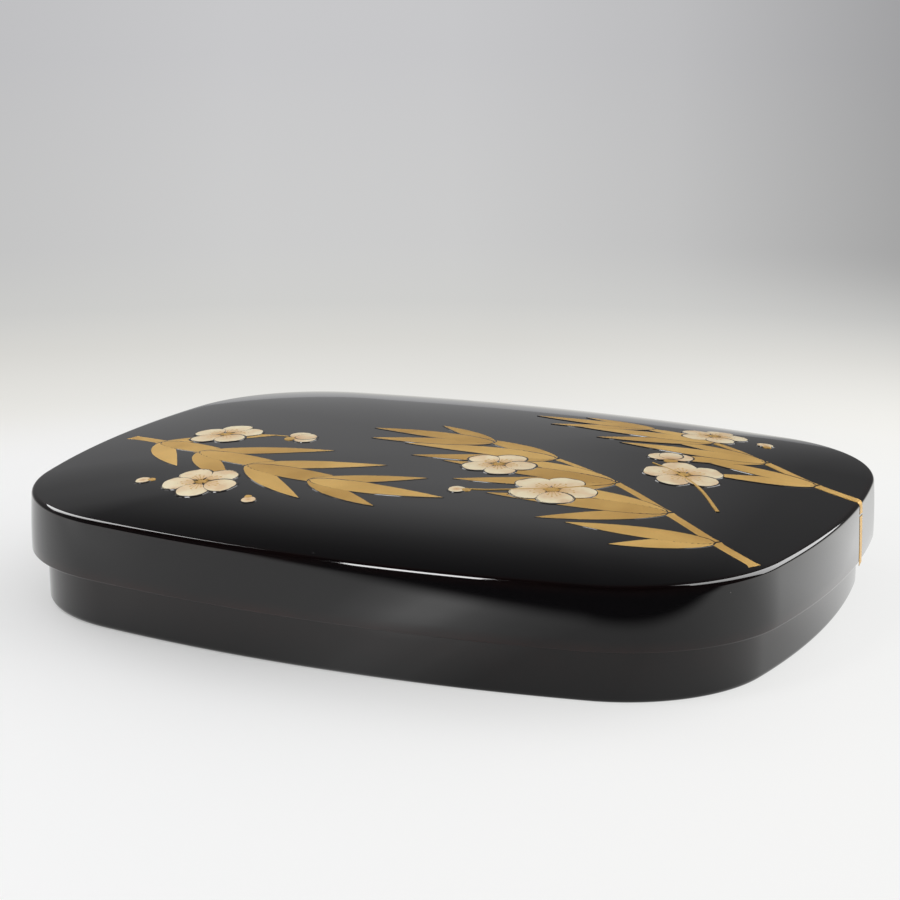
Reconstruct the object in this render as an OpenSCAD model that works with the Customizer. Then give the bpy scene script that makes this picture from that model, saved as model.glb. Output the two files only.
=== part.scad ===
// Writing box for ink and brushes: a crowned lid that hangs over its base, with a
// loose board for the inkstone, dropper and ink stick, and a loose tray for two brushes.
// Millimetres. +Z is up, +X runs along the box, and the origin is the middle of the underside.

/* [Plan of the box] */
// Overall length of the lid, left to right
box_len = 258; // [250:1:280]
// Overall width of the lid, front to back
box_wid = 202; // [196:1:220]
// How far each long side bows out over its whole length
long_bow = 18.5; // [14:0.5:22]
// How far each short side bows out over its whole width
short_bow = 17.5; // [14:0.5:21]
// Radius of the four corners
corner_r = 53.5; // [48:0.5:58]

/* [Base] */
// Height of the base, which is also where the lid sits
base_h = 31; // [28:0.5:36]
// Thickness of the base's wall at the rim
base_wall = 3.2; // [2.4:0.1:4]
// Thickness of the floor
floor_t = 3; // [2:0.5:5]
// How much smaller the foot of the base is than its rim, on each side
base_draft = 0.4; // [0:0.1:0.8]
// Radius of the edge that the base stands inside
foot_r = 1.8; // [0.8:0.2:2]
// Radius of the small round edges along both rims
rim_r = 0.6; // [0.3:0.1:0.9]

/* [Lid] */
// Thickness of the lid's wall
lid_wall = 4; // [3:0.1:5]
// Clearance between the lid's wall and the base's wall
lid_gap = 0.8; // [0.5:0.1:1.2]
// How far the lid's wall hangs down below its seat
lid_skirt = 14.2; // [10:0.2:18]
// Height of the lid's top edge above its seat
lid_shoulder = 5.1; // [4:0.1:8]
// Rise of the crowned top above the top edge
crown_h = 8.9; // [6:0.1:12]
// Shape of the crown: 2 is an even dome, more is flatter with a rounder border
crown_power = 2.8; // [2:0.1:4]
// Thickness of the crowned roof
roof_t = 3.5; // [2.6:0.1:4.5]
// Radius of the lid's top edge
edge_r = 1.7; // [1:0.1:2.4]
// Height of the upper stretch of the lid's wall that leans in
lean_h = 14; // [8:0.5:15]
// Angle at which the wall leans in where it meets the top edge
lean = 4; // [1:0.5:6]

/* [Board for the inkstone] */
// Thickness of the board
board_t = 8; // [6:0.5:10]
// Clearance of the board and the tray to the base's wall and to each other
inner_gap = 0.5; // [0.3:0.1:0.8]
// Clearance round what stands in a cut-out or a recess
pocket_gap = 0.5; // [0.3:0.1:0.8]
// Distance from the base's right wall to the inkstone
stone_margin = 18; // [16:1:24]
// Diameter of the finger hole
finger_d = 14; // [12:1:16]
// Depth of the ink stick's recess
stick_recess = 4; // [2:0.5:5]
// Diameter of the scoop that frees the ink stick
scoop_d = 26; // [22:1:30]

/* [Brush tray] */
// Inner width of the box that the tray takes, from the front wall back
tray_wid = 58; // [56:1:64]
// Height of the tray
tray_h = 17; // [16:0.5:20]
// Thickness of the tray's walls
tray_wall = 2.2; // [1.8:0.1:3]
// Thickness of the tray's floor
tray_floor = 2; // [1.5:0.5:3]
// Diameter of the finger notch in the tray's straight wall
notch_d = 22; // [16:1:30]
// Thickness of each brush rest
rest_t = 8; // [6:0.5:10]
// Distance between the two brush rests
rest_pitch = 62; // [50:1:70]
// Space between the large brush's cap and the tray's straight wall
back_space = 6; // [4:0.5:7]
// Space between the two caps
mid_space = 8; // [6:0.5:9]

/* [Inkstone] */
// Length of the inkstone
stone_len = 128; // [120:1:130]
// Width of the inkstone
stone_wid = 72; // [66:1:76]
// Height of the inkstone
stone_h = 17; // [15:0.5:19]
// Radius of the inkstone's corners
stone_r = 5; // [3:0.5:8]
// Width of the rim round the well
stone_rim = 6.5; // [5:0.5:9]
// Depth of the grinding land below the rim
land_depth = 2.2; // [1.5:0.1:3]
// Depth of the pond below the rim
pond_depth = 9.5; // [7:0.5:11]

/* [Water dropper] */
// Diameter of the dropper
dropper_d = 46; // [42:1:50]
// Height of the bowl, up to the seam
bowl_h = 13; // [11:0.5:15]
// Rise of the domed top above the seam
top_rise = 5; // [3:0.5:7]
// Thickness of the dropper's copper
copper_t = 1.2; // [0.8:0.1:1.6]
// Diameter of the filling hole, which a fingertip covers
air_hole_d = 4.6; // [4:0.2:6]
// Outer diameter of the spout
spout_d = 4.6; // [4:0.2:6]

/* [Ink stick] */
// Length of the ink stick
stick_len = 64; // [58:1:66]
// Width of the ink stick
stick_wid = 17; // [14:1:20]
// Thickness of the ink stick
stick_t = 9; // [7:0.5:11]

/* [Large brush] */
// Length of the bamboo handle
large_handle_len = 112; // [100:1:114]
// Diameter of the bamboo handle
large_handle_d = 9; // [8:0.5:10]
// Length of the horn collar
collar_len = 10; // [8:0.5:12]
// Length of the hair outside the collar
large_hair_len = 36; // [30:1:38]

/* [Small brush] */
// Length of the bamboo handle
small_handle_len = 122; // [110:1:124]
// Diameter of the bamboo handle
small_handle_d = 7; // [6:0.5:8]
// Length of the hair outside the bamboo
small_hair_len = 24; // [20:1:26]

/* [Brush fittings] */
// Length of each turned end plug outside the bamboo
plug_len = 5; // [4:0.5:6]
// Running clearance of a brush in its cap and in its rests
brush_gap = 0.3; // [0.2:0.05:0.5]
// Wall of the bamboo caps
cap_wall = 1.2; // [1:0.1:1.6]
// Length of handle or collar that a cap covers
cap_grip = 8; // [6:0.5:9]
// Free space in a cap beyond the hair's point
cap_room = 6; // [5:0.5:8]

/* [Hidden] */

// Steps along each side and each corner of the plan, and round every turned piece
side_steps = 12;
corner_steps = 12;
$fn = 48;
// How far a cutting shape reaches past what it cuts
over = 1;

// Colours of the finishes
black_lacquer = "#0c0b0d";
brown_lacquer = "#2a1512";
slate = "#34373b";
copper = "#8a5230";
soot = "#17161a";
bamboo = "#c9a163";
horn = "#2b2320";
hair = "#e6dcc6";

// ---------------------------------------------------------------- plan of the box
// The plan is eight arcs, each tangent to the next: a flat arc along every side and a
// tighter one round every corner. Insets move all arcs towards their own centres, so
// the walls of the lid, base, board and tray all run parallel.

half_len = box_len / 2;
half_wid = box_wid / 2;
long_r = (pow(half_len, 2) + pow(long_bow, 2)) / (2 * long_bow);
short_r = (pow(half_wid, 2) + pow(short_bow, 2)) / (2 * short_bow);
long_centre = [0, half_wid - long_r];
short_centre = [half_len - short_r, 0];
corner_centre = meet(long_centre, long_r - corner_r, short_centre, short_r - corner_r);
// Half of the angle that each flat arc spans
long_span = atan2(corner_centre.x - long_centre.x, corner_centre.y - long_centre.y);
short_span = atan2(corner_centre.y - short_centre.y, corner_centre.x - short_centre.x);

// Point in the first quadrant at distance ra from a and rb from b
function meet(a, ra, b, rb) =
    let (d = norm(b - a), along = (b - a) / d)
    let (t = (ra * ra - rb * rb + d * d) / (2 * d), h = sqrt(ra * ra - t * t))
    a + t * along + h * [-along.y, along.x] * sign(-along.y);

// Points on an arc, without the last one, where the next arc starts
function arc(centre, r, from, to, steps) = [
    for (i = [0:steps - 1])
        let (a = from + (to - from) * i / steps)
        centre + r * [cos(a), sin(a)]
];

// One half of the plan, from the middle of the right side round the back to the left
function half_plan(inset) = concat(
    arc(short_centre, short_r - inset, 0, short_span, side_steps / 2),
    arc(corner_centre, corner_r - inset, short_span, 90 - long_span, corner_steps),
    arc(long_centre, long_r - inset, 90 - long_span, 90 + long_span, side_steps),
    arc([-corner_centre.x, corner_centre.y], corner_r - inset,
        90 + long_span, 180 - short_span, corner_steps),
    arc(-short_centre, short_r - inset, 180 - short_span, 180, side_steps / 2)
);
function plan(inset) = concat(half_plan(inset), [for (p = half_plan(inset)) -p]);

// Half the length of the plan at a given distance y from the long axis
function reach(inset, y) =
    let (turn = short_centre.y + (short_r - inset) * sin(short_span))
    abs(y) < turn
        ? short_centre.x + sqrt(pow(short_r - inset, 2) - y * y)
        : corner_centre.x + sqrt(pow(corner_r - inset, 2) - pow(abs(y) - corner_centre.y, 2));

// Rounded rectangle about the origin, from the right side anticlockwise
function round_rect(l, w, r) = [
    for (q = [0:3])
        let (centre = [(q == 0 || q == 3 ? 1 : -1) * (l / 2 - r), (q < 2 ? 1 : -1) * (w / 2 - r)])
        for (i = [0:6])
            centre + r * [cos(90 * q + 15 * i), sin(90 * q + 15 * i)]
];

// One closed skin through rings of equally many points, each [flat points, height].
// It starts with a flat cap that faces down and ends with one that faces up.
module skin(rings) {
    n = len(rings[0][0]);
    last = len(rings) - 1;
    points = [for (ring = rings) for (p = ring[0]) [p.x, p.y, ring[1]]];
    walls = [
        for (j = [0:last - 1]) for (i = [0:n - 1])
            let (k = (i + 1) % n)
            [j * n + i, (j + 1) * n + i, (j + 1) * n + k, j * n + k]
    ];
    bottom = [for (i = [0:n - 1]) i];
    top = [for (i = [n - 1:-1:0]) last * n + i];
    polyhedron(points, concat([bottom], walls, [top]), convexity = 6);
}

// ---------------------------------------------------------------- base
base_inset = lid_wall + lid_gap;
cavity_inset = base_inset + base_wall;

module base() {
    foot_inset = base_inset + base_draft;
    steps = [0, 30, 60, 90];
    color(black_lacquer)
        skin(concat(
            [for (a = steps)
                [plan(foot_inset + foot_r * (1 - sin(a))), foot_r * (1 - cos(a))]],
            [for (a = steps)
                [plan(base_inset + rim_r * (1 - cos(a))), base_h - rim_r * (1 - sin(a))]],
            [for (a = steps)
                [plan(cavity_inset - rim_r * (1 - sin(a))), base_h - rim_r * (1 - cos(a))]],
            [[plan(cavity_inset), floor_t]]
        ));
}

// ---------------------------------------------------------------- lid
seat_z = base_h;
lid_rim_z = seat_z - lid_skirt;
lid_edge_z = seat_z + lid_shoulder;
lid_top_z = lid_edge_z + crown_h;

// Height of the crowned top at a share s of the way from its middle to the top edge
function crown_z(s) = lid_edge_z + crown_h * (1 - pow(s, crown_power));
// Slope of the crown where it meets the round top edge
crown_slope = atan(crown_h * crown_power / (half_wid / 2 + half_len / 2));
// The wall leans in along a wide arc, then turns round the top edge into the crown
lean_in = lean_h * tan(lean / 2);
lean_z = lid_edge_z - edge_r * (cos(crown_slope) - sin(lean)) - lean_h;
crown_inset = lean_in + edge_r * (cos(lean) - sin(crown_slope));

module lid() {
    // The roof's underside starts at the inner edge of the seat
    under_share = (half_wid - cavity_inset) / (half_wid - crown_inset);
    under_steps = [0.15, 0.35, 0.55, 0.72, 0.86, 0.95, 1];
    crown_steps = [0.97, 0.93, 0.88, 0.81, 0.72, 0.61, 0.48, 0.34, 0.2, 0.08];
    quarter = [0, 30, 60, 90];
    color(black_lacquer)
        skin(concat(
            [for (s = under_steps)
                [s * plan(cavity_inset), crown_z(s * under_share) - roof_t]],
            [[plan(cavity_inset), seat_z]],
            [[plan(lid_wall), seat_z]],
            [for (a = quarter)
                [plan(lid_wall - rim_r * (1 - cos(a))), lid_rim_z + rim_r * (1 - sin(a))]],
            [for (a = quarter)
                [plan(rim_r * (1 - sin(a))), lid_rim_z + rim_r * (1 - cos(a))]],
            [for (i = [0:3])
                let (a = lean * i / 4)
                [plan(lean_in * (1 - cos(a)) / (1 - cos(lean))),
                 lean_z + lean_h * sin(a) / sin(lean)]],
            [for (i = [0:5])
                let (a = lean + (90 - crown_slope - lean) * i / 5)
                [plan(lean_in + edge_r * (cos(lean) - cos(a))),
                 lid_edge_z - edge_r * (cos(crown_slope) - sin(a))]],
            [for (s = crown_steps)
                [s * plan(crown_inset), crown_z(s)]]
        ));
}

// ---------------------------------------------------------------- board and tray
inner_inset = cavity_inset + inner_gap;
cavity_front = -(half_wid - cavity_inset);
cavity_right = half_len - cavity_inset;
// The line between the tray and the board
split_y = cavity_front + tray_wid;
board_front = split_y + inner_gap / 2;
board_back = half_wid - inner_inset;

stone_pos = [cavity_right - stone_margin - stone_len / 2, (board_front + board_back) / 2];
stone_left = stone_pos.x - stone_len / 2;
// The dropper and the ink stick share the space left of the stone, in line with its edges
side_x = (stone_left - cavity_right) / 2;
dropper_pos = [side_x, stone_pos.y + stone_wid / 2 - dropper_d / 2];
stick_pos = [side_x, stone_pos.y - stone_wid / 2 + stick_wid / 2];
// The finger hole is in the strip between the stone and the tray
finger_pos = [stone_left, (board_front + stone_pos.y - stone_wid / 2) / 2];

// The part of the plan between two distances from the long axis
module plan_strip(inset, from_y, to_y) {
    intersection() {
        polygon(plan(inset));
        translate([-box_len, from_y])
            square([2 * box_len, to_y - from_y]);
    }
}

module stone_board() {
    color(brown_lacquer)
        translate([0, 0, floor_t])
        difference() {
            linear_extrude(board_t)
                plan_strip(inner_inset, board_front, box_wid);
            translate([stone_pos.x, stone_pos.y, -over])
                linear_extrude(board_t + 2 * over)
                polygon(round_rect(stone_len + 2 * pocket_gap, stone_wid + 2 * pocket_gap,
                                   stone_r + pocket_gap));
            translate([dropper_pos.x, dropper_pos.y, -over])
                cylinder(d = dropper_d + 2 * pocket_gap, h = board_t + 2 * over);
            translate([finger_pos.x, finger_pos.y, -over])
                cylinder(d = finger_d, h = board_t + 2 * over);
            translate([stick_pos.x, stick_pos.y, board_t - stick_recess])
                linear_extrude(stick_recess + over)
                polygon(round_rect(stick_len + 2 * pocket_gap, stick_wid + 2 * pocket_gap,
                                   stick_corner + pocket_gap));
            translate([stick_pos.x, stick_pos.y, board_t - stick_recess])
                cylinder(d = scoop_d, h = stick_recess + over);
        }
}

// Sizes that the brushes and the tray share
bore_d = 4;
tenon_gap = 0.05;
tenon_len = 8;
cup_depth = 6;
cap_end_t = 1.5;
end_gap = 2;
collar_d = large_handle_d * 1.18;
large_cap_bore = collar_d + 2 * brush_gap;
large_cap_d = large_cap_bore + 2 * cap_wall;
small_cap_bore = small_handle_d + 2 * brush_gap;
small_cap_d = small_cap_bore + 2 * cap_wall;

// Both brushes lie at one height, which the larger cap sets, the large one at the back.
// Each starts just inside the tray's left wall.
tray_back = split_y - inner_gap / 2;
brush_z = floor_t + tray_floor + large_cap_d / 2 + 2 * brush_gap;
large_brush_y = tray_back - tray_wall - back_space - large_cap_d / 2;
small_brush_y = large_brush_y - large_cap_d / 2 - mid_space - small_cap_d / 2;
large_brush_x = end_gap - reach(inner_inset + tray_wall, large_brush_y - large_cap_d / 2);
small_brush_x = end_gap - reach(inner_inset + tray_wall, small_brush_y - small_cap_d / 2);
rest_x = large_brush_x + plug_len + 0.28 * large_handle_len;

module brush_tray() {
    color(brown_lacquer)
        translate([0, 0, floor_t])
        difference() {
            linear_extrude(tray_h)
                plan_strip(inner_inset, -box_wid, tray_back);
            translate([0, 0, tray_floor])
                linear_extrude(tray_h)
                plan_strip(inner_inset + tray_wall, -box_wid, tray_back - tray_wall);
            translate([0, tray_back + over, tray_h])
                rotate([90, 0, 0])
                cylinder(d = notch_d, h = tray_wall + 2 * over);
        }
}

module brush_rests() {
    rest_back = tray_back - tray_wall;
    rest_front = small_brush_y - small_handle_d;
    color(brown_lacquer)
        for (side = [0, 1])
            translate([rest_x + side * rest_pitch, 0, 0])
            difference() {
                translate([-rest_t / 2, rest_front, floor_t + tray_floor])
                    cube([rest_t, rest_back - rest_front,
                          brush_z - small_handle_d / 4 - floor_t - tray_floor]);
                translate([-rest_t, large_brush_y, brush_z])
                    rotate([0, 90, 0])
                    cylinder(d = large_handle_d + 2 * brush_gap, h = 2 * rest_t);
                translate([-rest_t, small_brush_y, brush_z])
                    rotate([0, 90, 0])
                    cylinder(d = small_handle_d + 2 * brush_gap, h = 2 * rest_t);
            }
}

// ---------------------------------------------------------------- inkstone
// The well is carved in three stretches: a land that falls a little, a slope, and a pond
land_share = 0.56;
slope_share = 0.22;
well_corner_r = 7;
well_floor_r = 1.6;

// Depth of the well at a share u of its length, from the land's far end to the pond's end
function well_depth(u) =
    let (slope = min(max((u - land_share) / slope_share, 0), 1))
    let (land = land_depth * (1 + 0.4 * min(u / land_share, 1)))
    land + (pond_depth - 1.4 * land_depth) * slope * slope * (3 - 2 * slope);

// How far a round corner of radius r stands in at a distance d from where it starts
function corner_in(r, d) = d < r ? r - sqrt(r * r - pow(r - d, 2)) : 0;

// One cross-section of the well: upright sides above the stone, round corners below
function well_section(half, depth, r) = concat(
    [[half, over]],
    [for (a = [0:22.5:90]) [half - r * (1 - cos(a)), -depth + r * (1 - sin(a))]],
    [for (a = [90:-22.5:0]) [-half + r * (1 - cos(a)), -depth + r * (1 - sin(a))]],
    [[-half, over]]
);

// The carved well, as a solid to cut with. Its sections stand along X, the pond on the right,
// and stand close together at both ends, where the well's plan turns in.
module inkstone_well() {
    well_len = stone_len - 2 * stone_rim;
    well_half = stone_wid / 2 - stone_rim;
    turn_steps = [for (a = [0:15:75]) well_corner_r * (1 - cos(a))];
    even_steps = [for (i = [0:14]) well_corner_r + (well_len - 2 * well_corner_r) * i / 14];
    places = concat(turn_steps, even_steps, [for (i = [5:-1:0]) well_len - turn_steps[i]]);
    sections = [
        for (x = places)
            let (end_d = min(x, well_len - x))
            let (half = well_half - corner_in(well_corner_r, end_d))
            let (depth = well_depth(x / well_len) - corner_in(well_floor_r, end_d))
            [for (p = well_section(half, depth, well_floor_r * 0.99))
                [x - well_len / 2, p.x, p.y]]
    ];
    n = len(sections[0]);
    last = len(sections) - 1;
    polyhedron(
        [for (s = sections) for (p = s) p],
        concat(
            [[for (i = [n - 1:-1:0]) i]],
            [for (j = [0:last - 1]) for (i = [0:n - 1])
                let (k = (i + 1) % n)
                [j * n + i, j * n + k, (j + 1) * n + k, (j + 1) * n + i]],
            [[for (i = [0:n - 1]) last * n + i]]
        ),
        convexity = 4);
}

module inkstone() {
    bevel = 0.8;
    color(slate)
        translate([stone_pos.x, stone_pos.y, floor_t])
        difference() {
            skin([
                [round_rect(stone_len - 2 * bevel, stone_wid - 2 * bevel, stone_r - bevel), 0],
                [round_rect(stone_len, stone_wid, stone_r), bevel],
                [round_rect(stone_len, stone_wid, stone_r), stone_h - bevel],
                [round_rect(stone_len - 2 * bevel, stone_wid - 2 * bevel, stone_r - bevel), stone_h]
            ]);
            translate([0, 0, stone_h])
                inkstone_well();
        }
}

// ---------------------------------------------------------------- water dropper
bowl_z = floor_t + bowl_h;
belly_r = 7;

module dropper_bowl() {
    r = dropper_d / 2;
    color(copper)
        translate([dropper_pos.x, dropper_pos.y, floor_t])
        rotate_extrude()
        polygon(concat(
            [[0, 0]],
            [for (a = [0:15:90]) [r - belly_r + belly_r * sin(a), belly_r * (1 - cos(a))]],
            [[r, bowl_h], [r - copper_t, bowl_h]],
            [for (a = [90:-15:0])
                [r - belly_r + (belly_r - copper_t) * sin(a),
                 belly_r - (belly_r - copper_t) * cos(a)]],
            [[0, copper_t]]
        ));
}

// The top is a shallow dome whose rim sits on the bowl, with a ring that drops inside it
module dropper_top() {
    r = dropper_d / 2;
    ring_r = r - copper_t - 0.1;
    dome_r = (r * r + top_rise * top_rise) / (2 * top_rise);
    dome_span = asin(r / dome_r);
    spout_x = r - 3.2 * copper_t - spout_d / 2;
    color(copper)
        translate([dropper_pos.x, dropper_pos.y, bowl_z])
        difference() {
            union() {
                rotate_extrude()
                    polygon(concat(
                        [for (i = [0:10])
                            let (a = dome_span * i / 10)
                            [dome_r * sin(a), top_rise - dome_r * (1 - cos(a)) + copper_t]],
                        [[r, 0], [ring_r, 0], [ring_r, -copper_t], [ring_r - copper_t, -copper_t]],
                        [for (i = [10:-1:0])
                            let (a = asin((ring_r - copper_t) / dome_r) * i / 10)
                            [dome_r * sin(a), top_rise - dome_r * (1 - cos(a))]]
                    ));
                translate([spout_x, 0, top_rise * 0.3])
                    cylinder(d = spout_d, h = top_rise * 0.7 + copper_t);
            }
            translate([0, 0, -over])
                cylinder(d = air_hole_d, h = top_rise + copper_t + 2 * over);
            translate([spout_x, 0, -over])
                cylinder(d = spout_d - 2 * copper_t, h = top_rise + copper_t + 2 * over);
        }
}

// ---------------------------------------------------------------- ink stick
stick_corner = 2;

module ink_stick() {
    edge = 0.8;
    border = 2.6;
    slant = 9;
    color(soot)
        translate([stick_pos.x, stick_pos.y, floor_t + board_t - stick_recess])
        difference() {
            skin([
                [round_rect(stick_len - 2 * edge, stick_wid - 2 * edge, stick_corner - edge), 0],
                [round_rect(stick_len, stick_wid, stick_corner), edge],
                [round_rect(stick_len, stick_wid, stick_corner), stick_t - edge],
                [round_rect(stick_len - 2 * edge, stick_wid - 2 * edge, stick_corner - edge), stick_t]
            ]);
            // Moulded panel in the top face
            translate([0, 0, stick_t - 0.5])
                linear_extrude(over)
                polygon(round_rect(stick_len - 4 * border, stick_wid - 2 * border, stick_corner));
            // End ground down at a slant
            translate([stick_len / 2 - 1.2, 0, 0])
                rotate([0, -slant, 0])
                translate([0, -stick_wid, -stick_t])
                cube([stick_t, 2 * stick_wid, 3 * stick_t]);
        }
}

// ---------------------------------------------------------------- brushes
// Every brush piece is turned about its own axis, which lies along X.

// Turns a profile of [distance along the brush, radius] points about the brush's axis
module turned(profile) {
    rotate([0, 90, 0])
        rotate_extrude()
        polygon(concat(
            [[0, profile[0][0]]],
            [for (p = profile) [p[1], p[0]]],
            [[0, profile[len(profile) - 1][0]]]
        ));
}

// Bamboo culm with slightly raised joints at the given shares of its length
module culm(length, d, joints) {
    difference() {
        turned(concat(
            [[0, d / 2 - 0.3], [0.3, d / 2]],
            [for (s = joints) for (p = [[-1.6, 0], [-0.5, 0.35], [0, 0.1], [0.6, 0.4], [1.8, 0]])
                [s * length + p[0], d / 2 + p[1]]],
            [[length - 0.3, d / 2], [length, d / 2 - 0.3]]
        ));
        rotate([0, 90, 0])
            translate([0, 0, -over])
            cylinder(d = bore_d, h = length + 2 * over);
    }
}

// Hair drawn to a point: a root of the given radius, a fuller belly, then the point
module tuft(root_len, root_r, belly_r, length) {
    turned(concat(
        [[-root_len, root_r], [0, root_r]],
        [for (i = [1:14])
            let (u = i / 15)
            [u * length, (root_r + (belly_r - root_r) * sin(180 * min(u * 1.6, 1)))
                * pow(1 - pow(u, 2.2), 0.8)]],
        [[length, 0.05]]
    ));
}

// Cap with a closed round end, open towards the handle
module cap(bore, length) {
    d = bore + 2 * cap_wall;
    difference() {
        turned([[0, d / 2 - 0.3], [0.3, d / 2], [length - 1.2, d / 2], [length - 0.4, d / 2 - 0.5],
                [length, d / 2 - 1.4]]);
        rotate([0, 90, 0])
            translate([0, 0, -over])
            cylinder(d = bore, h = length - cap_end_t + over);
    }
}

// End plug: a tenon in the bamboo and a turned knob outside it
module end_plug(d) {
    turned([[0, 0.26 * d], [0.3 * plug_len, 0.34 * d], [0.55 * plug_len, 0.26 * d],
            [0.75 * plug_len, d / 2], [plug_len, d / 2],
            [plug_len, bore_d / 2 - tenon_gap], [plug_len + tenon_len, bore_d / 2 - tenon_gap]]);
}

large_collar_x = large_brush_x + plug_len + large_handle_len;
large_hair_x = large_collar_x + collar_len;
small_hair_x = small_brush_x + plug_len + small_handle_len;

module large_brush_end() {
    color(horn)
        translate([large_brush_x, large_brush_y, brush_z])
        end_plug(large_handle_d);
}

module large_brush_handle() {
    color(bamboo)
        translate([large_brush_x + plug_len, large_brush_y, brush_z])
        culm(large_handle_len, large_handle_d, [0.1, 0.62]);
}

module large_brush_collar() {
    color(horn)
        translate([large_collar_x, large_brush_y, brush_z])
        difference() {
            turned([[-tenon_len, bore_d / 2 - tenon_gap], [0, bore_d / 2 - tenon_gap],
                    [0, large_handle_d / 2], [1.5, collar_d / 2], [collar_len - 0.4, collar_d / 2],
                    [collar_len, collar_d / 2 - 0.4]]);
            rotate([0, 90, 0])
                translate([0, 0, collar_len - cup_depth])
                cylinder(d = collar_d - 3, h = cup_depth + over);
        }
}

module large_brush_tuft() {
    color(hair)
        translate([large_hair_x, large_brush_y, brush_z])
        tuft(cup_depth, collar_d / 2 - 1.5 - tenon_gap, collar_d / 2 - 0.5, large_hair_len);
}

module large_brush_cap() {
    color(bamboo)
        translate([large_hair_x - cap_grip, large_brush_y, brush_z])
        cap(large_cap_bore, cap_grip + large_hair_len + cap_room + cap_end_t);
}

module small_brush_end() {
    color(horn)
        translate([small_brush_x, small_brush_y, brush_z])
        end_plug(small_handle_d);
}

module small_brush_handle() {
    color(bamboo)
        translate([small_brush_x + plug_len, small_brush_y, brush_z])
        culm(small_handle_len, small_handle_d, [0.32, 0.82]);
}

module small_brush_tuft() {
    color(hair)
        translate([small_hair_x, small_brush_y, brush_z])
        tuft(cup_depth, bore_d / 2 - tenon_gap, small_handle_d / 2 - 0.7, small_hair_len);
}

module small_brush_cap() {
    color(bamboo)
        translate([small_hair_x - cap_grip, small_brush_y, brush_z])
        cap(small_cap_bore, cap_grip + small_hair_len + cap_room + cap_end_t);
}

base();
lid();
stone_board();
brush_tray();
brush_rests();
inkstone();
dropper_bowl();
dropper_top();
ink_stick();
large_brush_handle();
large_brush_collar();
large_brush_tuft();
large_brush_end();
large_brush_cap();
small_brush_handle();
small_brush_tuft();
small_brush_end();
small_brush_cap();
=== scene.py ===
import math

import bpy
import numpy as np
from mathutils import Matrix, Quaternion, Vector


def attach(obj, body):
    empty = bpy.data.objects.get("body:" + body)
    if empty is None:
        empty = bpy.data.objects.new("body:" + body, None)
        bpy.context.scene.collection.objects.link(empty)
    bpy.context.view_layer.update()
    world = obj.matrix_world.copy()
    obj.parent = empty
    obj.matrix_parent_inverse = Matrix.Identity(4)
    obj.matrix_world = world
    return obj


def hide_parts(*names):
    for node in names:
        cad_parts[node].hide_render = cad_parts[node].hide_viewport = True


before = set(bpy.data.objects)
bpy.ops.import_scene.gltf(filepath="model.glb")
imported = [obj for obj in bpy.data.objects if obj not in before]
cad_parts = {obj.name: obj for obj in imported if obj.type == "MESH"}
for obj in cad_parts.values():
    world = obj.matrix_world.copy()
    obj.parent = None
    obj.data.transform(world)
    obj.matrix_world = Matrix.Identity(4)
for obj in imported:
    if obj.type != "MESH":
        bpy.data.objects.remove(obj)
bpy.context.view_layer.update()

# ---------------------------------------------------------------- base
# The lower half of the box, a thin shell of wood under many coats of black urushi. Its wall
# stands a few millimetres inside the lid's, and its foot is rounded. The shell is one sweep
# round the plan: flat arcs along the sides and tighter ones round the corners, all tangent.
box_len, box_wid = 0.258, 0.202
long_bow, short_bow = 0.0185, 0.0175
corner_r = 0.0535


def plan(inset):
    """The box's outline, anticlockwise from the middle of its right side, moved in by inset."""
    long_r = ((box_len / 2) ** 2 + long_bow**2) / (2 * long_bow)
    short_r = ((box_wid / 2) ** 2 + short_bow**2) / (2 * short_bow)
    long_mid = np.array([0, box_wid / 2 - long_r])
    short_mid = np.array([box_len / 2 - short_r, 0])
    # The corner's centre lies where it is tangent to both flat arcs
    apart = short_mid - long_mid
    gap = np.hypot(*apart)
    along = ((long_r - corner_r) ** 2 - (short_r - corner_r) ** 2 + gap * gap) / (2 * gap)
    aside = math.sqrt((long_r - corner_r) ** 2 - along * along)
    corner = long_mid + (along * apart + aside * np.array([apart[1], -apart[0]])) / gap
    turn_short = math.atan2(corner[1] - short_mid[1], corner[0] - short_mid[0])
    turn_long = math.pi / 2 - math.atan2(corner[0] - long_mid[0], corner[1] - long_mid[1])
    stretches = [
        (short_mid, short_r, 0, turn_short, 24),
        (corner, corner_r, turn_short, turn_long, 48),
        (long_mid, long_r, turn_long, math.pi - turn_long, 48),
        (corner * [-1, 1], corner_r, math.pi - turn_long, math.pi - turn_short, 48),
        (-short_mid, short_r, math.pi - turn_short, math.pi, 24),
    ]
    half = []
    for mid, r, start, end, steps in stretches:
        a = start + (end - start) * np.arange(steps) / steps
        half.append(mid + (r - inset) * np.stack([np.cos(a), np.sin(a)], 1))
    half = np.concatenate(half)
    return np.concatenate([half, -half])


def swept_shell(name, rings):
    """Mesh through rings of (outline, height, wear), with a centre point closing each end."""
    n = len(rings[0][0])
    points = [(0, 0, rings[0][1])]
    for outline, z, _ in rings:
        points += [(x, y, z) for x, y in outline]
    points.append((0, 0, rings[-1][1]))
    faces = [(0, 1 + (i + 1) % n, 1 + i) for i in range(n)]
    for j in range(len(rings) - 1):
        a, b = 1 + j * n, 1 + (j + 1) * n
        faces += [(a + i, a + (i + 1) % n, b + (i + 1) % n, b + i) for i in range(n)]
    a, last = 1 + (len(rings) - 1) * n, len(points) - 1
    faces += [(a + i, a + (i + 1) % n, last) for i in range(n)]
    mesh = bpy.data.meshes.new(name)
    mesh.from_pydata(points, [], faces)
    mesh.polygons.foreach_set("use_smooth", [True] * len(faces))
    mesh.set_sharp_from_angle(angle=math.radians(40))
    mesh.attributes.new("wear", "FLOAT", "POINT").data.foreach_set(
        "value", [0.0] + [worn for _, _, worn in rings for _ in range(n)] + [0.0])
    piece = bpy.data.objects.new(name, mesh)
    bpy.context.scene.collection.objects.link(piece)
    return piece


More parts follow.
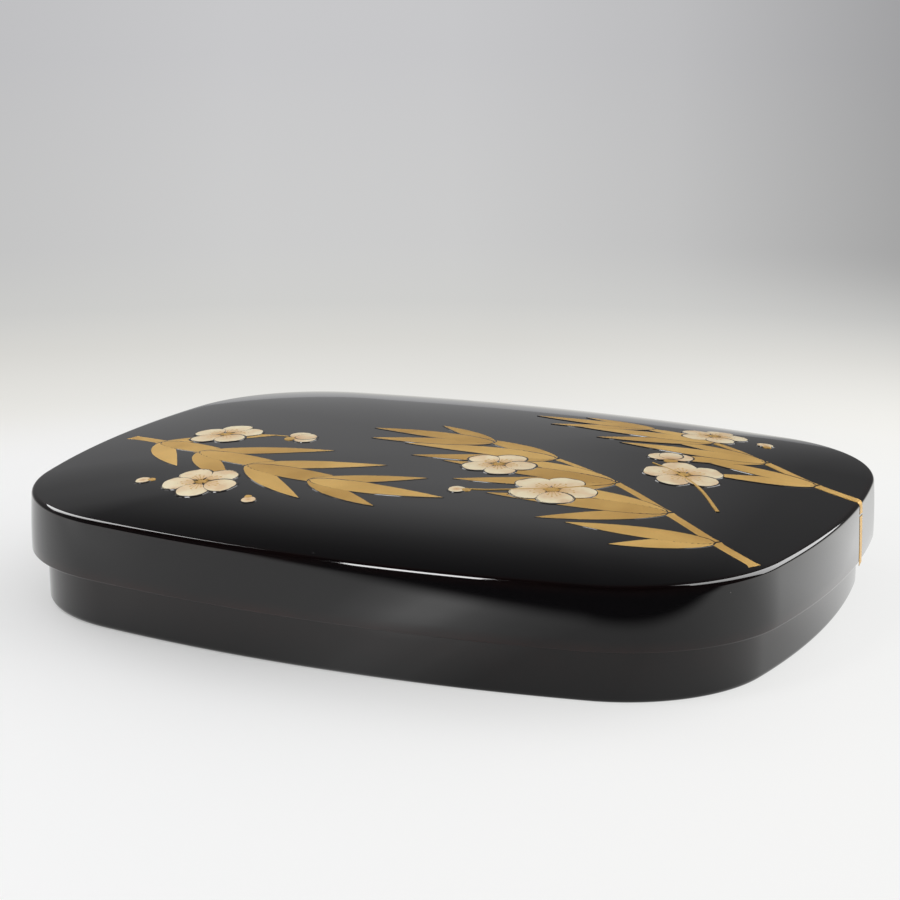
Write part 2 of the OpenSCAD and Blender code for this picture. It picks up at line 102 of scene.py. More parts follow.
def quarter(steps):
    """The angles of a quarter round, from 0 to a right angle."""
    return [math.pi / 2 * i / steps for i in range(steps + 1)]


base_h, floor_t = 0.031, 0.003
base_inset, base_draft, cavity_inset = 0.0048, 0.0004, 0.008
foot_r, rim_r, floor_r = 0.0018, 0.0006, 0.0006
foot_inset = base_inset + base_draft
base_rim_wear = 0.8

# Up the foot, over the rim from outside to inside, and down to the rounded edge of the floor
base_rings = [(plan(foot_inset + foot_r * (1 - math.sin(a))), foot_r * (1 - math.cos(a)), 0)
              for a in quarter(8)]
base_rings += [(plan(base_inset + rim_r * (1 - math.cos(a))),
                base_h - rim_r * (1 - math.sin(a)), base_rim_wear) for a in quarter(5)]
base_rings += [(plan(cavity_inset - rim_r * (1 - math.sin(a))),
                base_h - rim_r * (1 - math.cos(a)), base_rim_wear) for a in quarter(5)]
base_rings += [(plan(cavity_inset + floor_r * (1 - math.cos(a))),
                floor_t + floor_r * (1 - math.sin(a)), 0) for a in quarter(4)]
base = swept_shell("base_shell", base_rings)


def linear(hex_colour):
    """sRGB hex to the linear RGBA that the sockets take."""
    parts = [int(hex_colour[i:i + 2], 16) / 255 for i in (1, 3, 5)]
    return [c / 12.92 if c <= 0.04045 else ((c + 0.055) / 1.055) ** 2.4 for c in parts] + [1]


def add(tree, kind, inputs=None, **settings):
    """Adds a node with its settings. Each input is a value, or a socket to link from."""
    node = tree.nodes.new("ShaderNode" + kind)
    for name, value in settings.items():
        setattr(node, name, value)
    for name, value in (inputs or {}).items():
        if isinstance(value, bpy.types.NodeSocket):
            tree.links.new(value, node.inputs[name])
        else:
            node.inputs[name].default_value = value
    return node


def new_finish(name, **sockets):
    """A material with a bare Principled shader, and its tree and shader to build on."""
    finish = bpy.data.materials.new(name)
    finish.use_nodes = True
    tree = finish.node_tree
    shader = tree.nodes["Principled BSDF"]
    for socket, value in sockets.items():
        shader.inputs[socket.replace("_", " ")].default_value = value
    return finish, tree, shader


# Urushi lacquer, polished with powder to a mirror. It is black through and through, but thins
# over the edges, where it shows a little of its red-brown under-coat. The last polish leaves
# swells too shallow to see except in the reflections, and single specks of dust lie on it.
black_urushi, tree, shader = new_finish("polished_black_urushi", Roughness=0.05, IOR=1.53)
place = add(tree, "TexCoord").outputs["Object"]
thin = add(tree, "Attribute", attribute_name="wear").outputs["Fac"]
patchy = add(tree, "TexNoise", {"Vector": place, "Scale": 1 / 0.012, "Detail": 3})
thin_patchy = add(tree, "Math", {0: thin, 1: patchy.outputs["Fac"]}, operation="MULTIPLY")
coat = add(tree, "Mix", {"Factor": thin_patchy.outputs[0], "A": linear("#060506"),
                         "B": linear("#2A120D")}, data_type="RGBA")
# Dust: a speck 0.25 mm wide in about one in five cells of 9 mm
cells = add(tree, "TexVoronoi", {"Vector": place, "Scale": 1 / 0.009})
chosen = add(tree, "SeparateColor", {"Color": cells.outputs["Color"]})
picked = add(tree, "Math", {0: chosen.outputs["Red"], 1: 0.82}, operation="GREATER_THAN")
speck = add(tree, "Math", {0: cells.outputs["Distance"], 1: 0.014}, operation="LESS_THAN")
dust = add(tree, "Math", {0: picked.outputs[0], 1: speck.outputs[0]}, operation="MULTIPLY")
dusty = add(tree, "Mix", {"Factor": dust.outputs[0], "A": coat.outputs["Result"],
                          "B": linear("#8C8A86")}, data_type="RGBA")
tree.links.new(dusty.outputs["Result"], shader.inputs["Base Color"])
swell = add(tree, "TexNoise", {"Vector": place, "Scale": 1 / 0.02, "Detail": 1})
bump = add(tree, "Bump", {"Height": swell.outputs["Fac"], "Strength": 0.25, "Distance": 0.00001})
tree.links.new(bump.outputs["Normal"], shader.inputs["Normal"])

base.data.materials.append(black_urushi)
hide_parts("base")
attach(base, "base")

# ---------------------------------------------------------------- board and tray
# The loose board for the inkstone and the loose brush tray, with its two rests, are thin wood
# under red-brown lacquer. Gold flakes are sifted into the wet coat and polished level, which
# gives the eye a dark ground with sparse sparks.


def dress(finish, *nodes):
    """Gives the frame's own mesh of each of these nodes a finish."""
    for node in nodes:
        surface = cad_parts[node].data.materials
        surface.clear()
        surface.append(finish)


gold_dust, tree, shader = new_finish("brown_urushi_with_gold_dust", Roughness=0.16, IOR=1.53)
place = add(tree, "TexCoord").outputs["Object"]
cloudy = add(tree, "TexNoise", {"Vector": place, "Scale": 1 / 0.03, "Detail": 4})
ground = add(tree, "Mix", {"Factor": cloudy.outputs["Fac"], "A": linear("#2A120C"),
                           "B": linear("#3C1B10")}, data_type="RGBA")
# Flakes are 0.1 mm wide on the real thing, drawn at 0.4 mm so that they show
cells = add(tree, "TexVoronoi", {"Vector": place, "Scale": 1 / 0.0009})
flake = add(tree, "Math", {0: cells.outputs["Distance"], 1: 0.24}, operation="LESS_THAN")
chosen = add(tree, "SeparateColor", {"Color": cells.outputs["Color"]})
kept = add(tree, "Math", {0: chosen.outputs["Red"], 1: 0.45}, operation="GREATER_THAN")
gold = add(tree, "Math", {0: flake.outputs[0], 1: kept.outputs[0]}, operation="MULTIPLY")
dusted = add(tree, "Mix", {"Factor": gold.outputs[0], "A": ground.outputs["Result"],
                           "B": linear("#B98A3A")}, data_type="RGBA")
tree.links.new(dusted.outputs["Result"], shader.inputs["Base Color"])
part_gold = add(tree, "Math", {0: gold.outputs[0], 1: 0.7}, operation="MULTIPLY")
tree.links.new(part_gold.outputs[0], shader.inputs["Metallic"])
dress(gold_dust, "stone_board", "brush_tray", "brush_rests")

# ---------------------------------------------------------------- inkstone
# A slab of fine slate with a carved well, honed by hand. It is even and matt, with faint
# bands of its bedding, 4 mm thick, of which some have a slight sheen.
slate, tree, shader = new_finish("honed_slate", IOR=1.5)
place = add(tree, "TexCoord").outputs["Object"]
bedding = add(tree, "Mapping", {"Vector": place, "Scale": (40, 130, 260)})
bands = add(tree, "TexNoise", {"Vector": bedding.outputs[0], "Scale": 1, "Detail": 5})
tone = add(tree, "Mix", {"Factor": bands.outputs["Fac"], "A": linear("#26292D"),
                         "B": linear("#3D4146")}, data_type="RGBA")
# The marks of the last honing, 0.1 mm apart on the real thing, are drawn at 0.4 mm
grit = add(tree, "TexNoise", {"Vector": place, "Scale": 1 / 0.0004, "Detail": 2})
tree.links.new(tone.outputs["Result"], shader.inputs["Base Color"])
rub = add(tree, "MapRange", {"Value": bands.outputs["Fac"], "To Min": 0.42, "To Max": 0.62})
tree.links.new(rub.outputs[0], shader.inputs["Roughness"])
bump = add(tree, "Bump", {"Height": grit.outputs["Fac"], "Strength": 0.3, "Distance": 0.00004})
tree.links.new(bump.outputs["Normal"], shader.inputs["Normal"])
dress(slate, "inkstone")

# ---------------------------------------------------------------- water dropper
# A raised copper bowl with a domed top soldered on. Years of handling have given it a brown
# patina with warmer, polished high spots, over faint hammer marks 3 mm wide.
copper, tree, shader = new_finish("patinated_copper", Metallic=1.0)
place = add(tree, "TexCoord").outputs["Object"]
cloud = add(tree, "TexNoise", {"Vector": place, "Scale": 1 / 0.011, "Detail": 6})
patina = add(tree, "Mix", {"Factor": cloud.outputs["Fac"], "A": linear("#5E3322"),
                           "B": linear("#A8663F")}, data_type="RGBA")
tree.links.new(patina.outputs["Result"], shader.inputs["Base Color"])
rub = add(tree, "MapRange", {"Value": cloud.outputs["Fac"], "To Min": 0.42, "To Max": 0.24})
tree.links.new(rub.outputs[0], shader.inputs["Roughness"])
hammer = add(tree, "TexVoronoi", {"Vector": place, "Scale": 1 / 0.0028}, feature="SMOOTH_F1")
bump = add(tree, "Bump", {"Height": hammer.outputs["Distance"], "Strength": 0.35,
                          "Distance": 0.00008})
tree.links.new(bump.outputs["Normal"], shader.inputs["Normal"])
dress(copper, "dropper_bowl", "dropper_top")

# ---------------------------------------------------------------- ink stick
# Soot and hide glue, kneaded and pressed in a wooden mould. The skin is a cloudy black with a
# soft sheen that comes and goes.
soot_ink, tree, shader = new_finish("pressed_soot_ink", IOR=1.5)
place = add(tree, "TexCoord").outputs["Object"]
knead = add(tree, "TexNoise", {"Vector": place, "Scale": 1 / 0.006, "Detail": 6})
tone = add(tree, "Mix", {"Factor": knead.outputs["Fac"], "A": linear("#0E0E10"),
                         "B": linear("#232226")}, data_type="RGBA")
tree.links.new(tone.outputs["Result"], shader.inputs["Base Color"])
rub = add(tree, "MapRange", {"Value": knead.outputs["Fac"], "To Min": 0.3, "To Max": 0.5})
tree.links.new(rub.outputs[0], shader.inputs["Roughness"])
dress(soot_ink, "ink_stick")

# ---------------------------------------------------------------- brushes
# Two writing brushes. Handles and caps are bamboo culm with its skin left on and oiled, so
# they are glossy, with fine fibres along them in lighter and darker stretches. The fibres are
# 0.1 mm wide on the real thing, drawn at 0.4 mm so that they show.
bamboo, tree, shader = new_finish("oiled_bamboo_skin", Roughness=0.28, IOR=1.5)
place = add(tree, "TexCoord").outputs["Object"]
along = add(tree, "Mapping", {"Vector": place, "Scale": (18, 2400, 2400)})
fibre = add(tree, "TexNoise", {"Vector": along.outputs[0], "Scale": 1, "Detail": 4})
broad = add(tree, "TexNoise", {"Vector": place, "Scale": 1 / 0.02, "Detail": 3})
mixed = add(tree, "Math", {0: fibre.outputs["Fac"], 1: broad.outputs["Fac"]}, operation="MULTIPLY")
tone = add(tree, "MapRange", {"Value": mixed.outputs[0], "From Min": 0.1, "From Max": 0.4})
skin = add(tree, "Mix", {"Factor": tone.outputs[0], "A": linear("#A97B3C"),
                         "B": linear("#D9B878")}, data_type="RGBA")
tree.links.new(skin.outputs["Result"], shader.inputs["Base Color"])
bump = add(tree, "Bump", {"Height": fibre.outputs["Fac"], "Strength": 0.3, "Distance": 0.00003})
tree.links.new(bump.outputs["Normal"], shader.inputs["Normal"])
dress(bamboo, "large_brush_handle", "large_brush_cap", "small_brush_handle", "small_brush_cap")

# The collar of the large brush and both end plugs are dark horn, turned and polished. It
# shows cloudy streaks along the grain, 2 mm wide.
horn, tree, shader = new_finish("polished_dark_horn", Roughness=0.18, IOR=1.55)
place = add(tree, "TexCoord").outputs["Object"]
along = add(tree, "Mapping", {"Vector": place, "Scale": (120, 500, 500)})
streak = add(tree, "TexNoise", {"Vector": along.outputs[0], "Scale": 1, "Detail": 4})
tone = add(tree, "MapRange", {"Value": streak.outputs["Fac"], "From Min": 0.42, "From Max": 0.7})
grain = add(tree, "Mix", {"Factor": tone.outputs[0], "A": linear("#17100D"),
                          "B": linear("#5A3A22")}, data_type="RGBA")
tree.links.new(grain.outputs["Result"], shader.inputs["Base Color"])
dress(horn, "large_brush_collar", "large_brush_end", "small_brush_end")

# The tufts are white goat hair, washed, combed and set to a point. Hairs are 0.06 mm thick on
# the real thing, drawn at 0.3 mm so that they show.
hair, tree, shader = new_finish("combed_goat_hair", Roughness=0.55, IOR=1.5, Sheen_Weight=0.3)
place = add(tree, "TexCoord").outputs["Object"]
along = add(tree, "Mapping", {"Vector": place, "Scale": (25, 3200, 3200)})
strand = add(tree, "TexNoise", {"Vector": along.outputs[0], "Scale": 1, "Detail": 2})
tone = add(tree, "Mix", {"Factor": strand.outputs["Fac"], "A": linear("#B49A70"),
                         "B": linear("#EFE6D2")}, data_type="RGBA")
tree.links.new(tone.outputs["Result"], shader.inputs["Base Color"])
bump = add(tree, "Bump", {"Height": strand.outputs["Fac"], "Strength": 0.7, "Distance": 0.0001})
tree.links.new(bump.outputs["Normal"], shader.inputs["Normal"])
dress(hair, "large_brush_tuft", "small_brush_tuft")

# ---------------------------------------------------------------- lid
# The crowned lid hangs over the base like a cap, seated on its rim by a step. It is wood under
# the same black urushi: an upright wall that leans in a little towards a tight top edge, and a
# shallow dome.
lid_wall, roof_t = 0.004, 0.0035
seat_z, lid_skirt, lid_shoulder = base_h, 0.0142, 0.0051
crown_h, crown_power = 0.0089, 2.8
edge_r, lean_h, lean = 0.0017, 0.014, math.radians(4)
seat_wear, lid_rim_wear, edge_wear = 0.3, 0.7, 0.16
rim_z, edge_z = seat_z - lid_skirt, seat_z + lid_shoulder
crown_slope = math.atan(crown_h * crown_power / ((box_wid + box_len) / 4))
lean_in = lean_h * math.tan(lean / 2)
lean_z = edge_z - edge_r * (math.cos(crown_slope) - math.sin(lean)) - lean_h
crown_inset = lean_in + edge_r * (math.cos(lean) - math.sin(crown_slope))


def crown_z(s):
    """Height of the dome at a share s of the way from its middle to the top edge."""
    return edge_z + crown_h * (1 - s**crown_power)


# The hollow's ceiling, from its middle out, and the step
hollow_share = (box_wid / 2 - cavity_inset) / (box_wid / 2 - crown_inset)
lid_rings = [(s * plan(cavity_inset), crown_z(s * hollow_share) - roof_t, 0)
             for s in np.linspace(0.05, 1, 14)]
lid_rings += [(plan(cavity_inset), seat_z, seat_wear), (plan(lid_wall), seat_z, 0)]
# Round the lower rim from inside to outside
lid_rings += [(plan(lid_wall - rim_r * (1 - math.cos(a))),
               rim_z + rim_r * (1 - math.sin(a)), lid_rim_wear) for a in quarter(5)]
lid_rings += [(plan(rim_r * (1 - math.sin(a))),
               rim_z + rim_r * (1 - math.cos(a)), lid_rim_wear) for a in quarter(5)]
# Up the wall, which curves in to its full lean
for a in (lean * i / 8 for i in range(8)):
    lid_rings.append((plan(lean_in * (1 - math.cos(a)) / (1 - math.cos(lean))),
                      lean_z + lean_h * math.sin(a) / math.sin(lean), 0))
# Over the top edge and up the dome
for a in (lean + (math.pi / 2 - crown_slope - lean) * i / 14 for i in range(15)):
    lid_rings.append((plan(lean_in + edge_r * (math.cos(lean) - math.cos(a))),
                      edge_z - edge_r * (math.cos(crown_slope) - math.sin(a)), edge_wear))
crown = plan(crown_inset)
for s in np.concatenate([np.linspace(0.99, 0.9, 8), np.linspace(0.88, 0.02, 34)]):
    lid_rings.append((s * crown, crown_z(s), 0))
lid = swept_shell("lid_shell", lid_rings)
lid.data.materials.append(black_urushi)
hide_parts("lid")
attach(lid, "lid")

# ---------------------------------------------------------------- pictures on the lid
# Three sprays of bamboo with plum blossom, laid in flat gold and cream: the forms are painted
# in lacquer a tenth of a millimetre thick, sprinkled with powder while wet, and polished. All
# are traditional motifs, drawn leaf by leaf on the dome. One culm runs over the right edge.


def by_bearing(outline):
    """An outline's bearings from the middle, in rising order, and how far it reaches at each."""
    bearing = np.arctan2(outline[:, 1], outline[:, 0])
    order = np.argsort(bearing)
    return bearing[order], np.hypot(outline[:, 0], outline[:, 1])[order]


crown_bearing, crown_reach = by_bearing(crown)
side_bearing, side_reach = by_bearing(plan(0))
top_turn, wall_r = math.pi / 2 - crown_slope, lean_h / math.sin(lean)


def on_lid(x, y, above):
    """Points of the lid at x, y, lifted by above. What reaches past the top runs down the side."""
    bearing, far = np.arctan2(y, x), np.hypot(x, y)
    reach = np.interp(bearing, crown_bearing, crown_reach, period=2 * math.pi)
    side = np.interp(bearing, side_bearing, side_reach, period=2 * math.pi)
    # The way past the dome goes round the top edge first, and then down the wall
    past = np.maximum(far - reach, 0)
    down = np.maximum(past - edge_r * (top_turn - lean), 0)
    a = np.maximum(top_turn - past / edge_r, lean)
    b = np.clip(lean - down / wall_r, 0, lean)
    edge_in = lean_in + edge_r * (math.cos(lean) - np.cos(a))
    edge_up = edge_z - edge_r * (math.cos(crown_slope) - np.sin(a))
    wall_in = lean_in * (1 - np.cos(b)) / (1 - math.cos(lean))
    wall_up = lean_z + lean_h * np.sin(b) / math.sin(lean) - np.maximum(down - wall_r * lean, 0)
    tilt = np.where(down > 0, b, np.where(past > 0, a, math.pi / 2))
    z = np.where(down > 0, wall_up, edge_up)
    z = np.where(past > 0, z, crown_z(np.minimum(far / reach, 1))) + above * np.sin(tilt)
    out = crown_inset - np.where(down > 0, wall_in, edge_in) + above * np.cos(tilt)
    far = np.where(past > 0, reach + out * (side - reach) / crown_inset, far)
    return np.stack([far * np.cos(bearing), far * np.sin(bearing), z], -1)


def through(points, steps=14):
    """A smooth line through points, rows of (x, y, width) in millimetres, in metres."""
    p = np.asarray(points, float) / 1000
    q = np.concatenate([[2 * p[0] - p[1]], p, [2 * p[-1] - p[-2]]])
    t = np.linspace(0, 1, steps, endpoint=False)[:, None]
    line = [(2 * b + (c - a) * t + (2 * a - 5 * b + 4 * c - d) * t**2
             + (3 * b - a - 3 * c + d) * t**3) / 2 for a, b, c, d in zip(q, q[1:], q[2:], q[3:])]
    return np.concatenate(line + [p[-1:]])


class Painting:
    """Collects the patches of one colour, each a grid of points laid on the lid."""

    def __init__(self):
        self.points, self.faces, self.tints, self.count = [], [], [], 0

    def patch(self, x, y, above, tint, closed=False):
        """Adds a grid of points. A closed one joins its last column to its first."""
        rows, cols = x.shape
        self.points.append(on_lid(x, y, above).reshape(-1, 3))
        self.tints.append(np.broadcast_to(tint, x.shape).ravel())
        for i in range(rows - 1):
            for j in range(cols if closed else cols - 1):
                k, here = (j + 1) % cols, self.count + i * cols
                self.faces.append((here + j, here + k, here + cols + k, here + cols + j))
        self.count += rows * cols

    def strip(self, line, thick, tint=0.5):
        """A patch along a line of (x, y, width), raised by thick, its edges sunk in the coat."""
        along = np.gradient(line[:, :2], axis=0)
        along /= np.linalg.norm(along, axis=1)[:, None] + 1e-12
        side = np.stack([-along[:, 1], along[:, 0]], 1) * line[:, 2:] / 2
        across = np.array([-1, -0.97, -0.85, -0.5, 0, 0.5, 0.85, 0.97, 1.0])
        raised = np.array([-0.3, 0.94, 0.98, 1, 1, 1, 0.98, 0.94, -0.3]) * thick
        grid = line[:, None, :2] + across[None, :, None] * side[:, None]
        self.patch(grid[..., 0], grid[..., 1], np.broadcast_to(raised, grid.shape[:2]), tint)

    def disc(self, middle, rim, thick, tint=0.5):
        """A round patch. Rim is its radius, or one radius for each bearing, as petals have."""
        share = np.array([0.02, 0.3, 0.6, 0.85, 0.96, 1.0])[:, None]
        raised = np.array([1, 1, 1, 0.99, 0.96, -0.3])[:, None] * thick
        x = middle[0] + share * rim * np.cos(round_disc)
        y = middle[1] + share * rim * np.sin(round_disc)
        tint = tint(x, y) if callable(tint) else tint
        self.patch(x, y, np.broadcast_to(raised, x.shape), tint, closed=True)

    def piece(self, name, finish, slot):
        """Makes one mesh of all the patches, which rides on the lid."""
        mesh = bpy.data.meshes.new(name)
        mesh.from_pydata(np.concatenate(self.points), [], self.faces)
        mesh.polygons.foreach_set("use_smooth", [True] * len(self.faces))
        mesh.set_sharp_from_angle(angle=math.radians(20))
        mesh.attributes.new("tint", "FLOAT", "POINT").data.foreach_set(
            "value", np.concatenate(self.tints).astype(np.float32))
        mesh.materials.append(finish)
        made = bpy.data.objects.new(name, mesh)
        bpy.context.scene.collection.objects.link(made)
        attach(made, "lid")


# Gold powder laid flat: matt, brighter where it has been burnished, and each leaf has taken the
# powder a little differently. Its grains are 0.03 mm, drawn at 0.5 mm so that they show.
sprinkled_gold, tree, shader = new_finish("sprinkled_gold_powder", Metallic=0.45)
place = add(tree, "TexCoord").outputs["Object"]
own = add(tree, "Attribute", attribute_name="tint").outputs["Fac"]
grains = add(tree, "TexNoise", {"Vector": place, "Scale": 1 / 0.0005, "Detail": 2})
drift = add(tree, "TexNoise", {"Vector": place, "Scale": 1 / 0.018, "Detail": 3})
both = add(tree, "Mix", {"Factor": 0.3, "A": drift.outputs["Fac"], "B": grains.outputs["Fac"]},
           data_type="FLOAT")
level = add(tree, "MapRange", {"Value": both.outputs["Result"], "From Min": 0.35, "From Max": 0.65})
even = add(tree, "Mix", {"Factor": 0.45, "A": level.outputs[0], "B": own}, data_type="FLOAT")
tone = add(tree, "Mix", {"Factor": even.outputs["Result"], "A": linear("#B0863B"),
                         "B": linear("#DDB567")}, data_type="RGBA")
tree.links.new(tone.outputs["Result"], shader.inputs["Base Color"])
rub = add(tree, "MapRange", {"Value": grains.outputs["Fac"], "To Min": 0.35, "To Max": 0.6})
tree.links.new(rub.outputs[0], shader.inputs["Roughness"])
bump = add(tree, "Bump", {"Height": grains.outputs["Fac"], "Strength": 0.3, "Distance": 0.00004})
tree.links.new(bump.outputs["Normal"], shader.inputs["Normal"])

# Cream lacquer dusted with tin and pale gold powder: warm at the heart of a blossom and in
# clouds, palest at the petals' edges
cream, tree, shader = new_finish("cream_urushi", Roughness=0.42, IOR=1.5)
place = add(tree, "TexCoord").outputs["Object"]
heart = add(tree, "Attribute", attribute_name="tint").outputs["Fac"]
cloud = add(tree, "TexNoise", {"Vector": place, "Scale": 1 / 0.008, "Detail": 4})
level = add(tree, "MapRange", {"Value": cloud.outputs["Fac"], "From Min": 0.4, "From Max": 0.64,
                               "To Max": 0.55})
warm = add(tree, "Math", {0: level.outputs[0], 1: heart}, operation="MAXIMUM")
tone = add(tree, "Mix", {"Factor": warm.outputs[0], "A": linear("#F0E2BE"),
                         "B": linear("#D29F66")}, data_type="RGBA")
tree.links.new(tone.outputs["Result"], shader.inputs["Base Color"])

# The parting lines between leaves and round petals are the black ground, left bare
parting, tree, shader = new_finish("parting_line_urushi", Roughness=0.08, IOR=1.53,
                                   Base_Color=linear("#100A07"))

# Each form lies a coat above what it overlaps. Blossoms lie above all leaves.
gold, petals, lines = Painting(), Painting(), Painting()
first_coat, coat_t, blossom_coat = 0.00004, 0.000004, 0.00016
coats = iter(np.arange(first_coat, 0.001, coat_t))
part_w, tip_w, stamen_w, anther_r = 0.00028, 0.00008, 0.00024, 0.0004
leaf_rows, culm_rows, disc_cols = 28, 24, 72
round_disc = np.linspace(0, 2 * math.pi, disc_cols, endpoint=False)


def leaf(foot, bearing, length, width, bend):
    """A bamboo leaf: round at the foot, drawn to a long point, parted from those under it.

    Lengths are in millimetres. Bearing is its heading at the foot and bend its turn to the tip,
    in degrees.
    """
    coat, u = next(coats), np.linspace(0, 1, leaf_rows)
    tint = 0.5 + 0.5 * math.sin(bearing * 0.31 + length)
    heading = math.radians(bearing) + math.radians(bend) * u
    way = np.stack([np.cos(heading), np.sin(heading)], 1)
    shape = u**0.55 * (1 - u) ** 0.95
    for paint, extra, lift in ((lines, part_w, 0), (gold, 0, coat_t / 2)):
        line = np.cumsum(way, axis=0) * (length / 1000 + 2 * extra) / leaf_rows
        line += np.array(foot) / 1000 - extra * way[0] - line[0]
        wide = width / 1000 * shape / shape.max() + tip_w + 2 * extra
        paint.strip(np.column_stack([line, wide]), coat + lift, tint)


def twig(points):
    """A thin twig through points of (x, y, width) in millimetres."""
    gold.strip(through(points), next(coats))


def culm(points, steps):
    """A bamboo culm: one length from joint to joint, each a little thicker at its ends."""
    line = through(points, steps)
    for start in range(0, len(line) - 1, steps):
        t = np.linspace(0.02, 0.98, culm_rows) * steps
        length = np.column_stack(
            [np.interp(t, range(steps + 1), k) for k in line[start:start + steps + 1].T])
        length[:, 2] *= 1 + 0.3 * np.exp(-((t - 0.3) / 0.7) ** 2) + 0.3 * np.exp(
            -((t - steps + 0.3) / 0.7) ** 2)
        gold.strip(length, next(coats), 0.35)


def spray(points, fans, steps=14):
    """A culm through points of (x, y, width), and fans of leaves, each from one foot on it."""
    culm(points, steps)
    for foot, leaves in fans:
        for bearing, length, width, bend in leaves:
            leaf(foot, bearing, length, width, bend)


def petal(x, y, size, a, order, shift=0.3, round_r=0.225):
    """One round petal of a blossom at x, y, turned to a, over the petals before it in order.

    Shift, how far out it lies, and round_r, its radius, are shares of the blossom's size.
    """
    coat = blossom_coat + order * coat_t
    middle = (x + shift * size * math.cos(a), y + shift * size * math.sin(a))
    # Its edge waves a little and dips in the middle, away from the heart
    dip = 0.06 * np.maximum(np.cos(round_disc - a), 0) ** 12
    rim = round_r * size * (1 + 0.02 * np.sin(3 * (round_disc - a) + 7 * a) - dip)

    def warmth(px, py):
        return np.clip(1.05 - np.hypot(px - x, py - y) / (0.36 * size), 0, 1)

    lines.disc(middle, rim + part_w, coat)
    petals.disc(middle, rim, coat + coat_t / 2, warmth)


def blossom(x, y, size, turn):
    """A plum blossom of five petals, with gold stamens round its heart. Sizes in millimetres."""
    x, y, size = x / 1000, y / 1000, size / 1000
    turns = [math.radians(turn + 72 * i) for i in range(5)]
    for order, a in enumerate(turns):
        petal(x, y, size, a, order)
    coat = blossom_coat + 6 * coat_t
    for a in turns:
        for spread, r in ((-0.36, 0.2), (-0.12, 0.26), (0.12, 0.24), (0.36, 0.2)):
            way = r * size * np.array([math.cos(a + spread), math.sin(a + spread)])
            line = np.outer(np.linspace(0.2, 1, 5), way) + [x, y]
            gold.strip(np.column_stack([line, np.full(len(line), stamen_w)]), coat)
            gold.disc(line[-1], anther_r, coat + coat_t, 0.9)
    gold.disc((x, y), 0.05 * size, coat + coat_t, 0.2)


def half_open(x, y, size, turn):
    """A blossom seen from its side: three petals over a gold calyx. Sizes in millimetres."""
    x, y, size, a = x / 1000, y / 1000, size / 1000, math.radians(turn)
    for order, spread in enumerate((-0.75, 0.75, 0)):
        petal(x, y, size, a + spread, order, 0.24, 0.2)
    for order, spread in enumerate((-0.5, 0.5, 0)):
        end = a + math.pi + spread
        gold.disc((x + 0.05 * size * math.cos(end), y + 0.05 * size * math.sin(end)),
                  0.085 * size, blossom_coat + (5 + order) * coat_t, 0.1)


def bud(x, y, size, turn):
    """A round bud on its gold calyx. Sizes in millimetres."""
    x, y, size, a = x / 1000, y / 1000, size / 1000, math.radians(turn)
    petal(x, y, size, a, 0, 0, 0.5)
    gold.disc((x - 0.5 * size * math.cos(a), y - 0.5 * size * math.sin(a)),
              0.24 * size, blossom_coat + 2 * coat_t, 0.1)


# Right: a culm rises from the front corner to the middle
spray([(119.5, -57, 3.6), (104, -48, 3.4), (84, -33, 3.0), (60, -14, 2.5), (34, 2, 1.8),
       (8, 12, 1.1)], [
    ((104, -48), [(222, 33, 7.5, -14), (196, 46, 8.5, -10)]),
    ((84, -33), [(224, 42, 8, -18), (166, 50, 8.5, 12), (194, 58, 10, -10)]),
    ((60, -14), [(236, 38, 7.5, -16), (160, 46, 8.5, 12), (210, 52, 9.5, -16), (184, 60, 10, -6)]),
    ((34, 2), [(152, 38, 8, 12), (206, 48, 9, -14), (178, 54, 9.5, 8)]),
    ((8, 12), [(144, 30, 6.5, 10), (200, 42, 8.5, -12), (172, 46, 8.5, 8)]),
])
# A second comes over the right edge and runs to the back. Its finer steps follow the edge.
spray([(147, 27, 3.8), (131, 24, 3.7), (112, 27, 3.4), (92, 38, 2.9), (70, 51, 2.3),
       (46, 60, 1.4)], [
    ((112, 27), [(212, 36, 8, -14), (184, 44, 8.5, -8)]),
    ((92, 38), [(216, 40, 8, -16), (166, 40, 7.5, 10), (192, 50, 9, -10)]),
    ((70, 51), [(212, 40, 8.5, -16), (160, 34, 7, 8), (186, 50, 9, -6)]),
    ((46, 60), [(208, 36, 7.5, -14), (160, 30, 6.5, 6), (182, 44, 8.5, -4)]),
], steps=40)
twig([(96, -22, 1.2), (84, -4, 1.0), (72, 8, 0.8), (62, 14, 0.5)])
twig([(60, -14, 1.0), (48, -28, 0.9), (30, -38, 0.7), (20, -41, 0.4)])
blossom(46, -31, 27, 10)
blossom(75, 7, 26, 48)
blossom(20, -12, 24, 80)
half_open(66, 20, 21, 110)
bud(19, -42, 6, 190)
bud(84, 62, 6, 120)
blossom(66, 62, 23, 20)

# Left: a culm hangs in from the left edge towards the front. It meets neither of the others,
# so its coats start again.
coats = iter(np.arange(first_coat, 0.001, coat_t))
spray([(-118, -6, 3.6), (-100, -16, 3.3), (-78, -29, 2.9), (-54, -41, 2.3), (-28, -49, 1.4)], [
    ((-100, -16), [(14, 40, 7.5, 8), (-62, 40, 8, 18), (-28, 46, 8.5, 12)]),
    ((-78, -29), [(12, 46, 8.5, 6), (-56, 40, 8.5, 18), (-22, 54, 9.5, 12)]),
    ((-54, -41), [(16, 46, 8.5, 4), (-46, 40, 8, 16), (-14, 54, 9.5, 10)]),
    ((-28, -49), [(20, 38, 7.5, 4), (-34, 34, 7.5, 14), (-6, 48, 9, 8)]),
])
twig([(-96, -14, 1.1), (-82, -6, 0.9), (-64, -4, 0.7), (-52, -6, 0.4)])
blossom(-82, -5, 25, 20)
blossom(-60, -60, 25, 60)
half_open(-56, -7, 20, 40)
bud(-80, -62, 5.5, 200)
bud(-38, -70, 5, 300)

gold.piece("gold_leaves", sprinkled_gold, "gold_powder")
petals.piece("cream_petals", cream, "cream_lacquer")
lines.piece("petal_lines", parting, "brown_lacquer")

